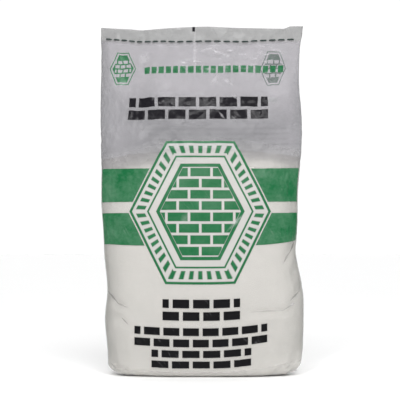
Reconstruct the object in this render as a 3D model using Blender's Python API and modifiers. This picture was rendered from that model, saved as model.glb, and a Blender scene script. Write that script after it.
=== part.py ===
"""Pouch of clear film, two thirds full of white cement powder, sewn shut across its top.

Metres, +Z up, front towards -Y. The pouch stands on its filled base, at z = 0.
"""

import math

import bmesh
import bpy
import numpy as np
from mathutils import Matrix, Vector

COLLECTION = "cement_pouch"
CUTTERS = "cutters"

# Film and clearances
FILM_THICKNESS = 0.00015
HALF_FLAT = 0.00045  # from the middle of the empty top to the film's outer face
CLEARANCE = 0.0003

# Side edges seen from the front, as (height, place across)
LEFT_EDGE = (
    (0.000, -0.0955), (0.021, -0.0957), (0.056, -0.0983), (0.087, -0.0961),
    (0.135, -0.0995), (0.155, -0.1001), (0.180, -0.1021), (0.222, -0.1016),
    (0.270, -0.1039), (0.300, -0.1044), (0.360, -0.1045),
)
RIGHT_EDGE = (
    (0.000, 0.1003), (0.029, 0.1031), (0.055, 0.1046), (0.078, 0.1044),
    (0.094, 0.1023), (0.130, 0.0962), (0.142, 0.0975), (0.165, 0.0985),
    (0.185, 0.0984), (0.217, 0.1008), (0.243, 0.1024), (0.258, 0.1032),
    (0.276, 0.1021), (0.300, 0.1002), (0.330, 0.1009), (0.346, 0.1023), (0.358, 0.1042),
)

# Fullness by height: depth from front to back, and how square the section is
DEPTH = (
    (0.000, 0.055), (0.030, 0.0605), (0.080, 0.0625), (0.120, 0.0590), (0.160, 0.0505),
    (0.195, 0.0385), (0.222, 0.0270), (0.245, 0.0145), (0.265, 0.0060), (0.285, 0.0012),
    (0.300, 0.0),
)
SQUARENESS = ((0.000, 3.4), (0.060, 2.5), (0.150, 2.1), (0.300, 2.0))
FRONT_SHARE = 0.52  # of the depth, in front of the middle surface

# Rounding where the walls turn under on to the base
ROUND_HEIGHT = 0.014
ROUND_IN_X = 0.023
ROUND_IN_Y = 0.008

# Lines across the front, as (place across, height)
POWDER_LINE = ((-0.103, 0.2195), (-0.060, 0.2240), (0.000, 0.2275), (0.103, 0.2225))
MOUTH_LINE = (
    (-0.103, 0.3605), (-0.0745, 0.3567), (-0.060, 0.3548), (-0.025, 0.3556),
    (0.002, 0.3560), (0.036, 0.3546), (0.083, 0.3539), (0.092, 0.3567), (0.103, 0.3572),
)
STITCH_LINE = (
    (-0.103, 0.3489), (-0.079, 0.3455), (-0.063, 0.3430), (-0.038, 0.3420),
    (-0.022, 0.3410), (0.000, 0.3410), (0.043, 0.3403), (0.055, 0.3412),
    (0.073, 0.3421), (0.103, 0.3438),
)

# How far the empty top leans back, by place across, and the heights between which it starts
LEAN = (
    (-0.103, 0.0310), (-0.070, 0.0180), (-0.035, 0.0065), (0.000, 0.0012),
    (0.040, 0.0000), (0.075, 0.0012), (0.103, 0.0050),
)
LEAN_FROM, LEAN_TO = 0.215, 0.345

# Slack of the empty top, in which both layers wave together: (length, heading, phase, height)
SLACK_WAVES = (
    (0.082, 0.30, 0.9, 0.0012), (0.054, -0.60, 2.4, 0.0009), (0.048, 1.20, 4.1, 0.0006),
)
SLACK_FROM, SLACK_FULL = 0.240, 0.262
SLACK_FADE, SLACK_TO = 0.310, 0.332

# Steps of the film's mesh
COLUMNS = 30
ROUND_STEPS = (0.0, 0.06, 0.22, 0.46, 0.74, 1.0)
WALL_HEIGHTS = (
    0.027, 0.044, 0.062, 0.080, 0.094, 0.108, 0.122, 0.134, 0.146, 0.160, 0.176, 0.194,
    0.210, 0.225,
)
POWDER_HEIGHT = 0.225
TOP_SHARES = (0.08, 0.17, 0.26, 0.35, 0.44, 0.53, 0.62, 0.70, 0.78, 0.85, 1.0)  # to the mouth
MOUTH_HEIGHT = 0.357
MOUND = 0.004  # the powder's surface is this much higher along its middle

# Stitches: (number, place across) of the dashes' middles, which are closer at the left
STITCHES = 22
DASH_PLACES = (
    (-0.5, -0.1007), (5.0, -0.0552), (8.0, -0.0304), (14.0, 0.0260), (21.5, 0.0960)
)
DASH_HALF_SHARE = 0.32  # half a dash, as a share of the distance between dashes
THREAD_RADIUS = 0.0004
HOLE_RADIUS = 0.0009
HOLE_SIDES = 6
TAIL = 0.003

FILM_COLOUR = (0.62, 0.62, 0.65, 1.0)
POWDER_COLOUR = (0.86, 0.85, 0.82, 1.0)
THREAD_COLOUR = (0.015, 0.03, 0.028, 1.0)


def eased(points, place):
    """Value at a place on the smooth line through (place, value) points, flat past its ends."""
    xs, ys = (np.array(column, dtype=float) for column in zip(*points))
    widths = np.diff(xs)
    slopes = np.diff(ys) / widths
    tangents = np.zeros(len(xs))
    same_way = slopes[:-1] * slopes[1:] > 0
    means = 2 * slopes[:-1] * slopes[1:] / np.where(same_way, slopes[:-1] + slopes[1:], 1.0)
    tangents[1:-1] = np.where(same_way, means, 0.0)
    tangents[0], tangents[-1] = slopes[0], slopes[-1]
    at = np.clip(place, xs[0], xs[-1])
    i = np.clip(np.searchsorted(xs, at, side="right") - 1, 0, len(widths) - 1)
    t = (at - xs[i]) / widths[i]
    return float(
        ys[i] * (1 + 2 * t) * (1 - t) ** 2
        + tangents[i] * widths[i] * t * (1 - t) ** 2
        + ys[i + 1] * t * t * (3 - 2 * t)
        + tangents[i + 1] * widths[i] * t * t * (t - 1)
    )


def smooth_step(low, high, value):
    """Share from 0 at low to 1 at high, easing in and out."""
    t = min(max((value - low) / (high - low), 0.0), 1.0)
    return t * t * (3 - 2 * t)


def slack(x, z):
    """Distance that the slack top waves back at a place, which is none near powder or stitches."""
    waved = sum(
        height * math.sin(
            math.tau * (x * math.cos(heading) + z * math.sin(heading)) / length + phase
        )
        for length, heading, phase, height in SLACK_WAVES
    )
    rising = smooth_step(SLACK_FROM, SLACK_FULL, z)
    return waved * rising * (1 - smooth_step(SLACK_FADE, SLACK_TO, z))


def lean(x, z):
    """Distance that the middle surface stands back at a place."""
    return eased(LEAN, x) * smooth_step(LEAN_FROM, LEAN_TO, z) + slack(x, z)


def row_heights():
    """Nominal height of each row of the film, and the number of the powder's top row."""
    heights = [share * ROUND_HEIGHT for share in ROUND_STEPS] + list(WALL_HEIGHTS)
    powder_row = len(heights) - 1
    span = MOUTH_HEIGHT - POWDER_HEIGHT
    return heights + [POWDER_HEIGHT + share * span for share in TOP_SHARES], powder_row


def true_height(nominal, x):
    """Height of a row at a place across, so that rows follow the powder and mouth lines."""
    powder = eased(POWDER_LINE, x)
    if nominal <= POWDER_HEIGHT:
        return powder * nominal / POWDER_HEIGHT
    share = (nominal - POWDER_HEIGHT) / (MOUTH_HEIGHT - POWDER_HEIGHT)
    return powder + (eased(MOUTH_LINE, x) - powder) * share


def film_row(nominal):
    """Loop of points round the film's outer face at one row: front, right edge, back, left edge."""
    turn = 1 - math.sqrt(max(0.0, 1 - (1 - min(nominal / ROUND_HEIGHT, 1.0)) ** 2))
    left = eased(LEFT_EDGE, nominal) + turn * ROUND_IN_X
    right = eased(RIGHT_EDGE, nominal) - turn * ROUND_IN_X
    depth = eased(DEPTH, nominal)
    depth = max(depth - 2 * turn * ROUND_IN_Y, 0.0)
    square = eased(SQUARENESS, nominal)
    across = np.sin(np.linspace(-math.pi / 2, math.pi / 2, COLUMNS + 1))
    front, back = [], []
    for u in across:
        x = left + (right - left) * (u + 1) / 2
        z = true_height(nominal, x)
        middle = lean(x, z)
        belly = depth * math.sqrt(max(0.0, 1 - abs(u) ** square))
        front.append((x, middle - HALF_FLAT - belly * FRONT_SHARE, z))
        back.append((x, middle + HALF_FLAT + belly * (1 - FRONT_SHARE), z))
    edges = []
    for x, way in ((right, 1), (left, -1)):
        z = true_height(nominal, x)
        edges.append((x + way * HALF_FLAT, lean(x, z), z))
    return front + [edges[0]] + back[::-1] + [edges[1]]


def walls(loops):
    """Faces between loops of equal length stacked upwards."""
    count = len(loops[0])
    return [
        (r * count + j, r * count + (j + 1) % count,
         (r + 1) * count + (j + 1) % count, (r + 1) * count + j)
        for r in range(len(loops) - 1)
        for j in range(count)
    ]


def mesh_object(name, points, faces, collection):
    """Object with a mesh of these points and faces."""
    mesh = bpy.data.meshes.new(name)
    mesh.from_pydata([tuple(point) for point in points], [], faces)
    mesh.update()
    made = bpy.data.objects.new(name, mesh)
    collection.objects.link(made)
    return made


def add_modifier(target, kind, **settings):
    """Modifier with its settings, in the order given."""
    modifier = target.modifiers.new(kind.title(), kind)
    for setting, value in settings.items():
        setattr(modifier, setting, value)


def film_loops():
    """The film's outer loops from base to mouth, and the number of the powder's top row."""
    heights, powder_row = row_heights()
    return [film_row(height) for height in heights], powder_row


def make_film(collection, cutter):
    """Thin film open at the mouth, with a flat base and a needle hole for each pass of thread."""
    loops, _ = film_loops()
    base = tuple(reversed(range(len(loops[0]))))
    points = [point for loop in loops for point in loop]
    film = mesh_object("film_pouch", points, [base] + walls(loops), collection)
    add_modifier(
        film, "SOLIDIFY", thickness=FILM_THICKNESS, offset=-1.0, use_even_offset=True
    )
    add_modifier(film, "BOOLEAN", operation="DIFFERENCE", solver="EXACT", object=cutter)
    return film


def inset_points(loops, distance):
    """The loops' points moved straight in from the surface that the loops make."""
    shell = bmesh.new()
    corners = [shell.verts.new(point) for loop in loops for point in loop]
    for face in [tuple(reversed(range(len(loops[0]))))] + walls(loops):
        shell.faces.new([corners[i] for i in face])
    shell.normal_update()
    moved = [corner.co - corner.normal * distance for corner in corners]
    shell.free()
    return moved


def make_powder(collection):
    """The powder, a clearance inside the film, closed by a low mound along its top."""
    loops, powder_row = film_loops()
    moved = inset_points(loops[: powder_row + 2], FILM_THICKNESS + CLEARANCE)
    count = len(loops[0])
    points = moved[: (powder_row + 1) * count]
    faces = [tuple(reversed(range(count)))] + walls(loops[: powder_row + 1])
    top = powder_row * count
    ridge = []
    for j in range(COLUMNS + 1):
        front, back = points[top + j], points[top + 2 * COLUMNS + 2 - j]
        ridge.append(len(points))
        u = 2 * j / COLUMNS - 1
        points.append((front + back) / 2 + Vector((0, 0, MOUND * (1 - u * u))))
    for j in range(COLUMNS):
        front, back = top + j, top + 2 * COLUMNS + 2 - j
        faces.append((front, front + 1, ridge[j + 1], ridge[j]))
        faces.append((ridge[j], ridge[j + 1], back - 1, back))
    right_edge, left_edge = top + COLUMNS + 1, top + 2 * COLUMNS + 3
    faces.append((right_edge, right_edge + 1, ridge[-1], right_edge - 1))
    faces.append((left_edge, top, ridge[0], left_edge - 1))
    return mesh_object("cement_powder", points, faces, collection)


def seam_point(x, out):
    """Point on the stitch line, this far behind the middle surface, and the way back from it."""
    z = eased(STITCH_LINE, x)
    step = 0.001
    slope = (lean(x + step, z) - lean(x - step, z)) / (2 * step)
    back = Vector((-slope, 1.0, 0.0)).normalized()
    return Vector((x, lean(x, z), z)) + back * out, back


def hole_places():
    """Place across of each needle hole, two to a dash."""
    return [
        eased(DASH_PLACES, number + way * DASH_HALF_SHARE)
        for number in range(STITCHES)
        for way in (-1, 1)
    ]


def make_hole_cutter(collection):
    """One cutter with a short rod through both layers of film at every needle hole."""
    rods = bmesh.new()
    for x in hole_places():
        centre, back = seam_point(x, 0.0)
        place = Matrix.Translation(centre) @ back.to_track_quat("Z", "X").to_matrix().to_4x4()
        bmesh.ops.create_cone(
            rods, cap_ends=True, segments=HOLE_SIDES, radius1=HOLE_RADIUS,
            radius2=HOLE_RADIUS, depth=8 * HALF_FLAT, matrix=place,
        )
    mesh = bpy.data.meshes.new("needle_holes")
    rods.to_mesh(mesh)
    rods.free()
    cutter = bpy.data.objects.new("needle_holes", mesh)
    collection.objects.link(cutter)
    cutter.hide_render = True
    cutter.display_type = "WIRE"
    return cutter


def thread_points():
    """Middle line of the thread: in and out through each hole, lying clear of the film."""
    lying = HALF_FLAT + CLEARANCE + THREAD_RADIUS
    turns = ((0.00025, 0.78 * lying), (0.0009, lying))  # along the seam, and out
    places = hole_places()
    points = [seam_point(places[0] - TAIL, lying)[0], seam_point(places[0] - turns[1][0], lying)[0]]
    points.append(seam_point(places[0] - turns[0][0], turns[0][1])[0])
    for number, x in enumerate(places):
        side = -1 if number % 2 == 0 else 1
        points += [seam_point(x, -side * HALF_FLAT)[0], seam_point(x, side * HALF_FLAT)[0]]
        last = number == len(places) - 1
        following = x + TAIL if last else places[number + 1]
        points += [seam_point(x + along, side * out)[0] for along, out in turns]
        if last:
            points.append(seam_point(following, side * lying)[0])
        else:
            points += [seam_point(following - along, side * out)[0] for along, out in turns[::-1]]
    return points


def make_thread(collection):
    """One thread along the whole row of stitches, its two ends lying behind the film."""
    curve = bpy.data.curves.new("closing_thread", "CURVE")
    curve.dimensions = "3D"
    curve.bevel_depth = THREAD_RADIUS
    curve.bevel_resolution = 2
    curve.use_fill_caps = True
    points = thread_points()
    line = curve.splines.new("POLY")
    line.points.add(len(points) - 1)
    for target, point in zip(line.points, points):
        target.co = (*point, 1.0)
    thread = bpy.data.objects.new("closing_thread", curve)
    collection.objects.link(thread)
    return thread


def dress(target, colour, roughness):
    """Give an object its own plain finish."""
    finish = bpy.data.materials.new(target.name)
    finish.use_nodes = True
    shader = finish.node_tree.nodes["Principled BSDF"]
    shader.inputs["Base Color"].default_value = colour
    shader.inputs["Roughness"].default_value = roughness
    shader.inputs["Metallic"].default_value = 0.0
    target.data.materials.append(finish)


def new_collection(name):
    """Collection linked into the scene."""
    made = bpy.data.collections.new(name)
    bpy.context.scene.collection.children.link(made)
    return made


def main():
    for old in list(bpy.data.objects):
        bpy.data.objects.remove(old, do_unlink=True)
    parts = new_collection(COLLECTION)
    cutters = new_collection(CUTTERS)
    cutters.hide_render = True
    dress(make_film(parts, make_hole_cutter(cutters)), FILM_COLOUR, 0.25)
    dress(make_powder(parts), POWDER_COLOUR, 0.95)
    dress(make_thread(parts), THREAD_COLOUR, 0.6)


main()
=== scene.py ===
"""Looks of a small pouch of clear film, two thirds full of white cement powder.

The pouch is one lofted shell of slack film, printed outside. The powder stands inside it, and one
thread closes its top. Metres, +Z up, front towards -Y; print and shaders are in millimetres.
"""

from __future__ import annotations

import logging
import math
from collections.abc import Callable
from dataclasses import dataclass, field
from enum import Enum
from typing import NamedTuple

import bpy
import numpy as np
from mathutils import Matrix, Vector


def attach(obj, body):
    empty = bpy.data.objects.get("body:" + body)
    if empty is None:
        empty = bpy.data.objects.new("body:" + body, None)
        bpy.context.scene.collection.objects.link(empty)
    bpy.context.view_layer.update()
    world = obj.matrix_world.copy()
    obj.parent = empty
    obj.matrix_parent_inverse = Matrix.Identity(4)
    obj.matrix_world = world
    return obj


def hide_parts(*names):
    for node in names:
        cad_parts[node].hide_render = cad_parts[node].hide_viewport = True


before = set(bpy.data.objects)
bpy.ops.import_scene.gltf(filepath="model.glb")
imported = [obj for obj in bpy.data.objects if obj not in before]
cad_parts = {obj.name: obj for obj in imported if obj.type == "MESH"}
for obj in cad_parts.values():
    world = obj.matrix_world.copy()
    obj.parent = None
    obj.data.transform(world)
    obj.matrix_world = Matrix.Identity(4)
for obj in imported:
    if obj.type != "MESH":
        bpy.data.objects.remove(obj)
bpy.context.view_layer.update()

BODY = "root"
MM = 1000.0

log = logging.getLogger("pouch")

Colour = tuple[float, float, float, float]
Array = np.ndarray


class Side(Enum):
    """Which face of the pouch, and the way that it looks along Y."""

    FRONT = -1
    BACK = 1


class Line:
    """Smooth line through control points, flat past its ends."""

    def __init__(self, *points: tuple[float, float]) -> None:
        """Work out the slope at each control point.

        Args:
            points: (place, value) pairs in rising order of place.
        """
        self.xs, self.ys = (np.array(column, dtype=float) for column in zip(*points))
        self.widths = np.diff(self.xs)
        slopes = np.diff(self.ys) / self.widths
        same_way = slopes[:-1] * slopes[1:] > 0
        total = np.where(same_way, slopes[:-1] + slopes[1:], 1.0)
        self.tangents = np.zeros(len(self.xs))
        self.tangents[1:-1] = np.where(same_way, 2 * slopes[:-1] * slopes[1:] / total, 0.0)
        self.tangents[0], self.tangents[-1] = slopes[0], slopes[-1]

    def __call__(self, place: Array | float) -> Array:
        """Value at each place.

        Args:
            place: One place or an array of them.

        Returns:
            Values in the shape of the places.
        """
        at = np.clip(place, self.xs[0], self.xs[-1])
        i = np.clip(np.searchsorted(self.xs, at, side="right") - 1, 0, len(self.widths) - 1)
        t = (at - self.xs[i]) / self.widths[i]
        return (
            self.ys[i] * (1 + 2 * t) * (1 - t) ** 2
            + self.tangents[i] * self.widths[i] * t * (1 - t) ** 2
            + self.ys[i + 1] * t * t * (3 - 2 * t)
            + self.tangents[i + 1] * self.widths[i] * t * t * (t - 1)
        )


def smooth_step(low: float, high: float, value: Array) -> Array:
    """Share that eases from 0 at low to 1 at high."""
    t = np.clip((value - low) / (high - low), 0.0, 1.0)
    return t * t * (3 - 2 * t)


@dataclass(frozen=True)
class Ripple:
    """Seeded waves that mix into an even, never repeating unevenness."""

    seed: int
    shortest: float
    longest: float
    heading: float = 0.0
    spread: float = math.pi
    waves: int = 18

    def __call__(self, x: Array, z: Array) -> Array:
        """Height of the waves, mostly between -1 and 1.

        Args:
            x: Places across, in metres.
            z: Places up, in metres.

        Returns:
            Heights in the shape of the places.
        """
        draw = np.random.default_rng(self.seed)
        total = np.zeros(np.broadcast(x, z).shape)
        for _ in range(self.waves):
            length = math.exp(draw.uniform(math.log(self.shortest), math.log(self.longest)))
            way = self.heading + draw.uniform(-self.spread, self.spread) / 2
            phase = draw.uniform(0, 2 * math.pi)
            total += np.sin(
                2 * math.pi * (x * math.cos(way) + z * math.sin(way)) / length + phase
            )
        return total / math.sqrt(self.waves)


@dataclass(frozen=True)
class Crease:
    """Sharp fold in the film along a short run of points, sunk on one side and raised on the other."""

    run: tuple[tuple[float, float], ...]
    width: float
    depth: float
    lip: float = 0.5

    def __call__(self, x: Array, z: Array) -> Array:
        """Distance that the film stands out at each place.

        Args:
            x: Places across, in metres.
            z: Places up, in metres.

        Returns:
            Distances in metres, inwards below zero.
        """
        nearest = np.full(x.shape, 1e9)
        side = np.zeros(x.shape)
        along = np.zeros(x.shape)
        lengths = [math.dist(a, b) for a, b in zip(self.run, self.run[1:])]
        done, whole = 0.0, sum(lengths)
        for (ax, az), (bx, bz), length in zip(self.run, self.run[1:], lengths):
            ux, uz = (bx - ax) / length, (bz - az) / length
            t = np.clip((x - ax) * ux + (z - az) * uz, 0, length)
            dx, dz = x - ax - t * ux, z - az - t * uz
            distance = np.hypot(dx, dz)
            closer = distance < nearest
            nearest = np.where(closer, distance, nearest)
            side = np.where(closer, ux * dz - uz * dx, side)
            along = np.where(closer, (done + t) / whole, along)
            done += length
        fade = np.sin(math.pi * np.clip(0.12 + 0.88 * along, 0, 1)) ** 0.6
        sunk = np.exp(-((nearest / self.width) ** 2))
        raised = np.exp(-(((side - 1.5 * self.width) / self.width) ** 2))
        raised *= np.exp(-((nearest / (2.4 * self.width)) ** 2))
        return self.depth * fade * (self.lip * raised - sunk)


@dataclass(frozen=True)
class PouchForm:
    """Sizes of the filled pouch, and the film's place at any point of it."""

    half_flat: float = 0.00045
    front_share: float = 0.52
    round_height: float = 0.014
    round_in_x: float = 0.023
    round_in_y: float = 0.008
    powder_height: float = 0.225
    mouth_height: float = 0.357
    lean_from: float = 0.215
    lean_to: float = 0.345
    slack_waves: tuple[tuple[float, float, float, float], ...] = (
        (0.082, 0.30, 0.9, 0.0012), (0.054, -0.60, 2.4, 0.0009), (0.048, 1.20, 4.1, 0.0006),
    )
    slack_rise: tuple[float, float] = (0.240, 0.262)
    slack_fade: tuple[float, float] = (0.310, 0.332)
    left_edge: Line = Line(
        (0.000, -0.0955), (0.021, -0.0957), (0.056, -0.0983), (0.087, -0.0961),
        (0.135, -0.0995), (0.155, -0.1001), (0.180, -0.1021), (0.222, -0.1016),
        (0.270, -0.1039), (0.300, -0.1044), (0.360, -0.1045),
    )
    right_edge: Line = Line(
        (0.000, 0.1003), (0.029, 0.1031), (0.055, 0.1046), (0.078, 0.1044),
        (0.094, 0.1023), (0.130, 0.0962), (0.142, 0.0975), (0.165, 0.0985),
        (0.185, 0.0984), (0.217, 0.1008), (0.243, 0.1024), (0.258, 0.1032),
        (0.276, 0.1021), (0.300, 0.1002), (0.330, 0.1009), (0.346, 0.1023), (0.358, 0.1042),
    )
    depth: Line = Line(
        (0.000, 0.055), (0.030, 0.0605), (0.080, 0.0625), (0.120, 0.0590),
        (0.160, 0.0505), (0.195, 0.0385), (0.222, 0.0270), (0.245, 0.0145),
        (0.265, 0.0060), (0.285, 0.0012), (0.300, 0.0),
    )
    squareness: Line = Line((0.000, 3.4), (0.060, 2.5), (0.150, 2.1), (0.300, 2.0))
    powder_line: Line = Line(
        (-0.103, 0.2195), (-0.060, 0.2240), (0.000, 0.2275), (0.103, 0.2225)
    )
    mouth_line: Line = Line(
        (-0.103, 0.3605), (-0.0745, 0.3567), (-0.060, 0.3548), (-0.025, 0.3556),
        (0.002, 0.3560), (0.036, 0.3546), (0.083, 0.3539), (0.092, 0.3567),
        (0.103, 0.3572),
    )
    stitch_line: Line = Line(
        (-0.103, 0.3489), (-0.079, 0.3455), (-0.063, 0.3430), (-0.038, 0.3420),
        (-0.022, 0.3410), (0.000, 0.3410), (0.043, 0.3403), (0.055, 0.3412),
        (0.073, 0.3421), (0.103, 0.3438),
    )
    lean_back: Line = Line(
        (-0.103, 0.0310), (-0.070, 0.0180), (-0.035, 0.0065), (0.000, 0.0012),
        (0.040, 0.0000), (0.075, 0.0012), (0.103, 0.0050),
    )
    dash_places: Line = Line(
        (-0.5, -0.1007), (5.0, -0.0552), (8.0, -0.0304), (14.0, 0.0260), (21.5, 0.0960)
    )

    def slack(self, x: Array | float, z: Array | float) -> Array:
        """Distance that the slack top waves back, which is none near powder or stitches.

        Args:
            x: Places across.
            z: Places up.

        Returns:
            Distances in metres.
        """
        waved = sum(
            height * np.sin(
                2 * math.pi * (x * math.cos(heading) + z * math.sin(heading)) / length + phase
            )
            for length, heading, phase, height in self.slack_waves
        )
        return waved * smooth_step(*self.slack_rise, z) * (1 - smooth_step(*self.slack_fade, z))

    def lean(self, x: Array | float, z: Array | float) -> Array:
        """Distance that the middle surface stands back."""
        return self.lean_back(x) * smooth_step(self.lean_from, self.lean_to, z) + self.slack(x, z)

    def true_height(self, nominal: Array, x: Array) -> Array:
        """Height of a row at a place across.

        Args:
            nominal: The row's height on an even pouch.
            x: Places across.

        Returns:
            Heights that follow the powder's line and the mouth's.
        """
        powder = self.powder_line(x)
        span = self.mouth_height - self.powder_height
        share = (nominal - self.powder_height) / span
        above = powder + (self.mouth_line(x) - powder) * share
        below = powder * nominal / self.powder_height
        return np.where(nominal <= self.powder_height, below, above)

    def surface(self, nominal: Array, u: Array, side: Side) -> Array:
        """Points of the film's outer face.

        Args:
            nominal: Heights of rows, shaped (rows, 1).
            u: Shares across from -1 to 1, shaped (1, columns).
            side: Which face of the pouch.

        Returns:
            Points shaped (rows, columns, 3).
        """
        turn = 1 - np.sqrt(1 - (1 - np.minimum(nominal / self.round_height, 1.0)) ** 2)
        left = self.left_edge(nominal) + turn * self.round_in_x
        right = self.right_edge(nominal) - turn * self.round_in_x
        x = left + (right - left) * (u + 1) / 2
        z = self.true_height(nominal, x)
        depth = np.maximum(self.depth(nominal) - 2 * turn * self.round_in_y, 0.0)
        belly = depth * np.sqrt(np.clip(1 - np.abs(u) ** self.squareness(nominal), 0, 1))
        share = self.front_share if side is Side.FRONT else 1 - self.front_share
        y = self.lean(x, z) + side.value * (self.half_flat + belly * share)
        return np.stack(np.broadcast_arrays(x, y, z), axis=-1)

    def seam_point(self, x: float, out: float) -> Vector:
        """Point on the stitch line.

        Args:
            x: Place across.
            out: Distance behind the middle surface, along its normal.

        Returns:
            The point.
        """
        z = float(self.stitch_line(x))
        step = 0.001
        slope = float(self.lean(x + step, z) - self.lean(x - step, z)) / (2 * step)
        back = Vector((-slope, 1.0, 0.0)).normalized()
        return Vector((x, float(self.lean(x, z)), z)) + back * out


def sum_method(operation: str, other_first: bool = False) -> Callable[..., Signal]:
    """Method of a signal that adds a Math node of it and of the number given to it.

    Args:
        operation: Blender's name for the sum.
        other_first: Whether the given number comes before the signal.

    Returns:
        The method.
    """

    def worked_out(signal: Signal, *other: Signal | float) -> Signal:
        """Result of the sum."""
        values = (*other, signal) if other_first else (signal, *other)
        return signal.graph.math(operation, *values)

    return worked_out


class Signal:
    """Number that a shader works out at each point, with the operators used on it.

    whole is the whole number below it, and part is what is left past that.
    """

    def __init__(self, graph: Graph, socket: bpy.types.NodeSocket) -> None:
        """Wrap an output socket."""
        self.graph, self.socket = graph, socket

    __add__ = __radd__ = sum_method("ADD")
    __mul__ = __rmul__ = sum_method("MULTIPLY")
    __sub__ = sum_method("SUBTRACT")
    __rsub__ = sum_method("SUBTRACT", other_first=True)
    __truediv__ = sum_method("DIVIDE")
    __abs__ = sum_method("ABSOLUTE")
    least = sum_method("MINIMUM")
    most = sum_method("MAXIMUM")
    whole = sum_method("FLOOR")
    part = sum_method("FRACT")

    def held(self) -> Signal:
        """This number kept between 0 and 1."""
        return self.least(1.0).most(0.0)


class Graph:
    """Node tree of a material or of the surroundings, which adds nodes and links them."""

    def __init__(self, owner: bpy.types.Material | bpy.types.World) -> None:
        """Empty the owner's node tree.

        Args:
            owner: The material or the surroundings.
        """
        self.owner = owner
        owner.use_nodes = True
        self.tree = owner.node_tree
        self.tree.nodes.clear()

    def node(
        self, kind: str, settings: dict[str, object] | None = None,
        inputs: dict[str | int, object] | None = None,
    ) -> bpy.types.Node:
        """Add a node.

        Args:
            kind: Blender's name for the type of node.
            settings: Its settings, set first.
            inputs: Values or links of its sockets, by name or number.

        Returns:
            The node.
        """
        made = self.tree.nodes.new(kind)
        for key, value in (settings or {}).items():
            setattr(made, key, value)
        for key, value in (inputs or {}).items():
            if isinstance(value, Signal):
                value = value.socket
            if isinstance(value, bpy.types.NodeSocket):
                self.tree.links.new(value, made.inputs[key])
            else:
                made.inputs[key].default_value = value
        return made

    def math(self, operation: str, *values: Signal | float) -> Signal:
        """Math node of one to three numbers."""
        made = self.node("ShaderNodeMath", {"operation": operation}, dict(enumerate(values)))
        return Signal(self, made.outputs[0])

    def attribute(self, name: str) -> bpy.types.Node:
        """Node that reads one of the mesh's own attributes."""
        return self.node("ShaderNodeAttribute", {"attribute_name": name})

    def split(self, vector: bpy.types.NodeSocket) -> list[Signal]:
        """The three numbers of a vector."""
        apart_shade = self.node("ShaderNodeSeparateXYZ", None, {0: vector})
        return [Signal(self, socket) for socket in apart_shade.outputs]

    def vector(self, x: Signal | float, y: Signal | float, z: Signal | float) -> Signal:
        """Vector of three numbers."""
        made = self.node("ShaderNodeCombineXYZ", None, {0: x, 1: y, 2: z})
        return Signal(self, made.outputs[0])

    def noise(self, vector: object, scale: float, detail: float = 2.0, rough: float = 0.5) -> Signal:
        """Noise between 0 and 1.

        Args:
            vector: Where it is read.
            scale: Its waves to a unit.
            detail: Number of finer layers.
            rough: Strength of the finer layers.

        Returns:
            The noise.
        """
        made = self.node(
            "ShaderNodeTexNoise", None,
            {"Vector": vector, "Scale": scale, "Detail": detail, "Roughness": rough},
        )
        return Signal(self, made.outputs[0])

    def mix(self, share: Signal | float, first: object, second: object) -> bpy.types.NodeSocket:
        """Blend of two colours.

        Args:
            share: How much of the second there is.
            first: Colour or link.
            second: Colour or link.

        Returns:
            The blend's socket.
        """
        made = self.node("ShaderNodeMix", {"data_type": "RGBA"}, {0: share, 6: first, 7: second})
        return made.outputs[2]

    def bump(
        self, height: Signal, distance: float, strength: float = 0.5
    ) -> bpy.types.NodeSocket:
        """Normal of a rough surface.

        Args:
            height: Its height, in any unit.
            distance: Metres to that unit.
            strength: Share of the roughness that shows.

        Returns:
            The normal's socket.
        """
        values = {"Strength": strength, "Distance": distance, "Height": height}
        return self.node("ShaderNodeBump", None, values).outputs[0]

    def finish(self, **inputs: object) -> bpy.types.Material:
        """End the material with one Principled shader.

        Args:
            inputs: The shader's sockets, with _ for a space in their names.

        Returns:
            The material.
        """
        values = {key.replace("_", " "): value for key, value in inputs.items()}
        shader = self.node("ShaderNodeBsdfPrincipled", None, values)
        self.node("ShaderNodeOutputMaterial", None, {0: shader.outputs[0]})
        return self.owner


class Place(NamedTuple):
    """Place across and up, in millimetres."""

    x: Signal
    z: Signal


@dataclass(frozen=True)
class FilmPoint:
    """The point of the film that is being shaded.

    flat is its place on the flat film, and seen the one on the standing pouch. spot is the flat
    place with the face, for noises. front is 1 in front and 0 behind. above, seam and edge are
    millimetres from the powder line, from the stitches and from the nearer side edge.
    """

    graph: Graph
    spot: bpy.types.NodeSocket
    flat: Place
    seen: Place
    front: Signal
    above: Signal
    seam: Signal
    edge: Signal

    @classmethod
    def read(cls, graph: Graph) -> FilmPoint:
        """Read it from the mesh's own values.

        Args:
            graph: The material's graph.

        Returns:
            The point.
        """
        spot = graph.attribute("print").outputs["Vector"]
        x, z, facing = graph.split(spot)
        across, _, up = graph.split(graph.node("ShaderNodeTexCoord").outputs["Object"])
        zone = graph.split(graph.attribute("zone").outputs["Vector"])
        return cls(
            graph, spot, Place(x, z), Place(across * MM, up * MM), (facing * 4.0).held(), *zone
        )


@dataclass(frozen=True)
class Band:
    """Upright rectangle of the print, in millimetres."""

    left: float
    right: float
    low: float
    high: float

    def mask(self, at: Place, soft: float) -> Signal:
        """Share of ink inside the rectangle.

        Args:
            at: The place.
            soft: Width of its edge.

        Returns:
            1 inside and 0 outside.
        """
        out = (abs(at.x - (self.left + self.right) / 2) - (self.right - self.left) / 2).most(
            abs(at.z - (self.low + self.high) / 2) - (self.high - self.low) / 2
        )
        return (0.5 - out / soft).held()


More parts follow.
